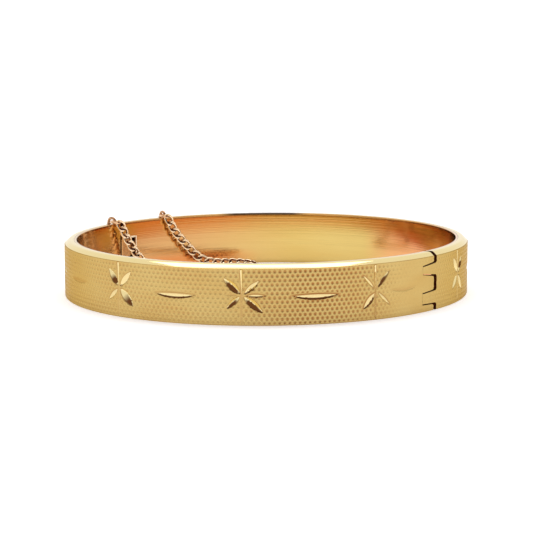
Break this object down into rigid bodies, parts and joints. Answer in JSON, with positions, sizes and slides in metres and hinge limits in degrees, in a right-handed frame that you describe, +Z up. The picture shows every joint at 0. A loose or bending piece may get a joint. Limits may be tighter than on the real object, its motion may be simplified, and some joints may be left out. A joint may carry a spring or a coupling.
{
  "type": "bangle bracelet",
  "caption": "Slim hinged bangle for the wrist, with a star-cut textured band, a box clasp with a sprung catch, and a curb-link safety chain.",
  "frame": {"origin": "centre of the bangle on the plane its lower rim rests on", "axes": "+Z up along the wrist's axis, +X from the centre to the hinge, +Y along the longer width, into the rear half that swings open"},
  "size_m": [0.062, 0.065, 0.0099],
  "materials": {
    "textured_gold": "stippled, with bright-cut stars and polished rims",
    "polished_gold": "polished, with fine lengthwise streaks",
    "wire_gold": "polished wire",
    "spring_gold": "satin rolled sheet"
  },
  "bodies": {
    "front_half": {"front_outer_shell": "textured_gold", "front_liner": "polished_gold", "front_hinge_leaf": "polished_gold", "hinge_pin": "spring_gold", "front_end_plate": "polished_gold", "clasp_tongue": "spring_gold", "front_eyelet": "wire_gold"},
    "rear_half": {"rear_outer_shell": "textured_gold", "rear_liner": "polished_gold", "rear_hinge_leaf": "polished_gold", "rear_mouth_plate": "polished_gold", "rear_eyelet": "wire_gold"},
    "catch": {"catch_spring": "spring_gold"},
    "front_jump_ring": {"front_jump_ring": "wire_gold"},
    "rear_jump_ring": {"rear_jump_ring": "wire_gold"},
    "chain_pair_01": {"chain_link_01": "wire_gold", "chain_link_02": "wire_gold"},
    "chain_pair_02": {"chain_link_03": "wire_gold", "chain_link_04": "wire_gold"},
    "chain_pair_03": {"chain_link_05": "wire_gold", "chain_link_06": "wire_gold"},
    "chain_pair_04": {"chain_link_07": "wire_gold", "chain_link_08": "wire_gold"},
    "chain_pair_05": {"chain_link_09": "wire_gold", "chain_link_10": "wire_gold"},
    "chain_pair_06": {"chain_link_11": "wire_gold", "chain_link_12": "wire_gold"},
    "chain_pair_07": {"chain_link_13": "wire_gold", "chain_link_14": "wire_gold"},
    "chain_pair_08": {"chain_link_15": "wire_gold", "chain_link_16": "wire_gold"},
    "chain_pair_09": {"chain_link_17": "wire_gold", "chain_link_18": "wire_gold"},
    "chain_pair_10": {"chain_link_19": "wire_gold"},
    "chain_pair_11": {"chain_link_38": "wire_gold", "chain_link_37": "wire_gold"},
    "chain_pair_12": {"chain_link_36": "wire_gold", "chain_link_35": "wire_gold"},
    "chain_pair_13": {"chain_link_34": "wire_gold", "chain_link_33": "wire_gold"},
    "chain_pair_14": {"chain_link_32": "wire_gold", "chain_link_31": "wire_gold"},
    "chain_pair_15": {"chain_link_30": "wire_gold", "chain_link_29": "wire_gold"},
    "chain_pair_16": {"chain_link_28": "wire_gold", "chain_link_27": "wire_gold"},
    "chain_pair_17": {"chain_link_26": "wire_gold", "chain_link_25": "wire_gold"},
    "chain_pair_18": {"chain_link_24": "wire_gold", "chain_link_23": "wire_gold"},
    "chain_pair_19": {"chain_link_22": "wire_gold", "chain_link_21": "wire_gold"},
    "chain_pair_20": {"chain_link_20": "wire_gold"}
  },
  "joints": [
    {"name": "main_hinge", "type": "hinge", "parent": "front_half", "child": "rear_half", "pos_m": [0.03005, 0, 0], "axis": [0, 0, -1], "range_deg": [0, 41.87]},
    {"name": "catch_press", "type": "hinge", "parent": "front_half", "child": "catch", "pos_m": [-0.02989, 0.0015, 0.00435], "axis": [0, 0, -1], "range_deg": [0, 2.8], "stiffness_Nm_per_rad": 0.01},
    {"name": "front_ring_swing", "type": "hinge", "parent": "front_half", "child": "front_jump_ring", "pos_m": [-0.02948, -0.00494, 0.0091], "axis": [0, 0, 1], "range_deg": [0, 35.01]},
    {"name": "rear_ring_swing", "type": "hinge", "parent": "rear_half", "child": "rear_jump_ring", "pos_m": [-0.02912, 0.0069, 0.0091], "axis": [0, 0, -1], "range_deg": [0, 35.01]},
    {"name": "chain_turn_01", "type": "hinge", "parent": "front_jump_ring", "child": "chain_pair_01", "pos_m": [-0.02795, -0.00471, 0.00888], "axis": [0.1564, -0.9873, -0.027], "range_deg": [0, 79.23]},
    {"name": "chain_turn_03", "type": "hinge", "parent": "chain_pair_01", "child": "chain_pair_02", "pos_m": [-0.02772, -0.00358, 0.00666], "axis": [-0.6839, -0.0477, 0.728], "range_deg": [0, 8.35]},
    {"name": "chain_turn_05", "type": "hinge", "parent": "chain_pair_02", "child": "chain_pair_03", "pos_m": [-0.02735, -0.00217, 0.00439], "axis": [-0.2002, 0.8158, 0.5425], "range_deg": [0, 9.39]},
    {"name": "chain_turn_07", "type": "hinge", "parent": "chain_pair_03", "child": "chain_pair_04", "pos_m": [-0.02656, -0.00074, 0.00226], "axis": [-0.2239, 0.9704, 0.0906], "range_deg": [0, 26.42]},
    {"name": "chain_turn_09", "type": "hinge", "parent": "chain_pair_04", "child": "chain_pair_05", "pos_m": [-0.02491, 0.00082, 0.00084], "axis": [0.1155, 0.989, 0.0924], "range_deg": [0, 34.31]},
    {"name": "chain_turn_11", "type": "hinge", "parent": "chain_pair_05", "child": "chain_pair_06", "pos_m": [-0.02263, 0.00221, 0.00052], "axis": [0.6585, 0.7397, 0.1386], "range_deg": [0, 19.49]},
    {"name": "chain_turn_13", "type": "hinge", "parent": "chain_pair_06", "child": "chain_pair_07", "pos_m": [-0.02024, 0.00346, 0.00049], "axis": [0.3786, 0.3667, -0.8498], "range_deg": [0, 6.35]},
    {"name": "chain_turn_15", "type": "hinge", "parent": "chain_pair_07", "child": "chain_pair_08", "pos_m": [-0.01797, 0.00492, 0.0005], "axis": [-0.3621, -0.2756, -0.8905], "range_deg": [0, 10.86]},
    {"name": "chain_turn_17", "type": "hinge", "parent": "chain_pair_08", "child": "chain_pair_09", "pos_m": [-0.01599, 0.00674, 0.00051], "axis": [-0.2755, -0.222, -0.9353], "range_deg": [0, 14.4]},
    {"name": "chain_turn_19", "type": "hinge", "parent": "chain_pair_09", "child": "chain_pair_10", "pos_m": [-0.01448, 0.00897, 0.00056], "axis": [-0.1787, -0.1674, -0.9696], "range_deg": [0, 16.17]},
    {"name": "chain_turn_38", "type": "hinge", "parent": "rear_jump_ring", "child": "chain_pair_11", "pos_m": [-0.02761, 0.00658, 0.00888], "axis": [-0.4093, -0.748, -0.5225], "range_deg": [0, 93.4]},
    {"name": "chain_turn_36", "type": "hinge", "parent": "chain_pair_11", "child": "chain_pair_12", "pos_m": [-0.02708, 0.00755, 0.00662], "axis": [-0.9521, 0.3058, 0.0004], "range_deg": [0, 14.11]},
    {"name": "chain_turn_34", "type": "hinge", "parent": "chain_pair_12", "child": "chain_pair_13", "pos_m": [-0.02634, 0.00911, 0.00455], "axis": [-0.1738, 0.2704, 0.9469], "range_deg": [0, 7.66]},
    {"name": "chain_turn_32", "type": "hinge", "parent": "chain_pair_13", "child": "chain_pair_14", "pos_m": [-0.02533, 0.01061, 0.00255], "axis": [-0.2893, 0.6869, 0.6667], "range_deg": [0, 21.2]},
    {"name": "chain_turn_30", "type": "hinge", "parent": "chain_pair_14", "child": "chain_pair_15", "pos_m": [-0.02355, 0.01194, 0.00108], "axis": [-0.2455, 0.964, -0.1019], "range_deg": [0, 30.59]},
    {"name": "chain_turn_28", "type": "hinge", "parent": "chain_pair_15", "child": "chain_pair_16", "pos_m": [-0.02137, 0.0135, 0.00085], "axis": [0.433, 0.8279, -0.3565], "range_deg": [0, 16.62]},
    {"name": "chain_turn_26", "type": "hinge", "parent": "chain_pair_16", "child": "chain_pair_17", "pos_m": [-0.01935, 0.01527, 0.0009], "axis": [0.4038, 0.1479, 0.9028], "range_deg": [0, 33.52]},
    {"name": "chain_turn_24", "type": "hinge", "parent": "chain_pair_17", "child": "chain_pair_18", "pos_m": [-0.01677, 0.01577, 0.00089], "axis": [0.2085, -0.0752, 0.9751], "range_deg": [0, 49.48]},
    {"name": "chain_turn_22", "type": "hinge", "parent": "chain_pair_18", "child": "chain_pair_19", "pos_m": [-0.01466, 0.01414, 0.00083], "axis": [0.0636, -0.1678, 0.9838], "range_deg": [0, 35.91]},
    {"name": "chain_turn_20", "type": "hinge", "parent": "chain_pair_19", "child": "chain_pair_20", "pos_m": [-0.01389, 0.01158, 0.00069], "axis": [0.0013, -0.0187, 0.9998], "range_deg": [0, 23.68]}
  ],
  "couplings": [
    {"joint": "front_ring_swing", "follows": "main_hinge", "ratio": 0.83602},
    {"joint": "rear_ring_swing", "follows": "main_hinge", "ratio": 0.83602},
    {"joint": "chain_turn_01", "follows": "main_hinge", "ratio": 1.892},
    {"joint": "chain_turn_03", "follows": "main_hinge", "ratio": 0.19929},
    {"joint": "chain_turn_05", "follows": "main_hinge", "ratio": 0.22405},
    {"joint": "chain_turn_07", "follows": "main_hinge", "ratio": 0.63077},
    {"joint": "chain_turn_09", "follows": "main_hinge", "ratio": 0.81914},
    {"joint": "chain_turn_11", "follows": "main_hinge", "ratio": 0.4652},
    {"joint": "chain_turn_13", "follows": "main_hinge", "ratio": 0.15146},
    {"joint": "chain_turn_15", "follows": "main_hinge", "ratio": 0.25908},
    {"joint": "chain_turn_17", "follows": "main_hinge", "ratio": 0.3437},
    {"joint": "chain_turn_19", "follows": "main_hinge", "ratio": 0.38598},
    {"joint": "chain_turn_38", "follows": "main_hinge", "ratio": 2.2304},
    {"joint": "chain_turn_36", "follows": "main_hinge", "ratio": 0.33668},
    {"joint": "chain_turn_34", "follows": "main_hinge", "ratio": 0.18268},
    {"joint": "chain_turn_32", "follows": "main_hinge", "ratio": 0.50605},
    {"joint": "chain_turn_30", "follows": "main_hinge", "ratio": 0.73038},
    {"joint": "chain_turn_28", "follows": "main_hinge", "ratio": 0.39679},
    {"joint": "chain_turn_26", "follows": "main_hinge", "ratio": 0.80038},
    {"joint": "chain_turn_24", "follows": "main_hinge", "ratio": 1.1815},
    {"joint": "chain_turn_22", "follows": "main_hinge", "ratio": 0.85735},
    {"joint": "chain_turn_20", "follows": "main_hinge", "ratio": 0.56529}
  ]
}
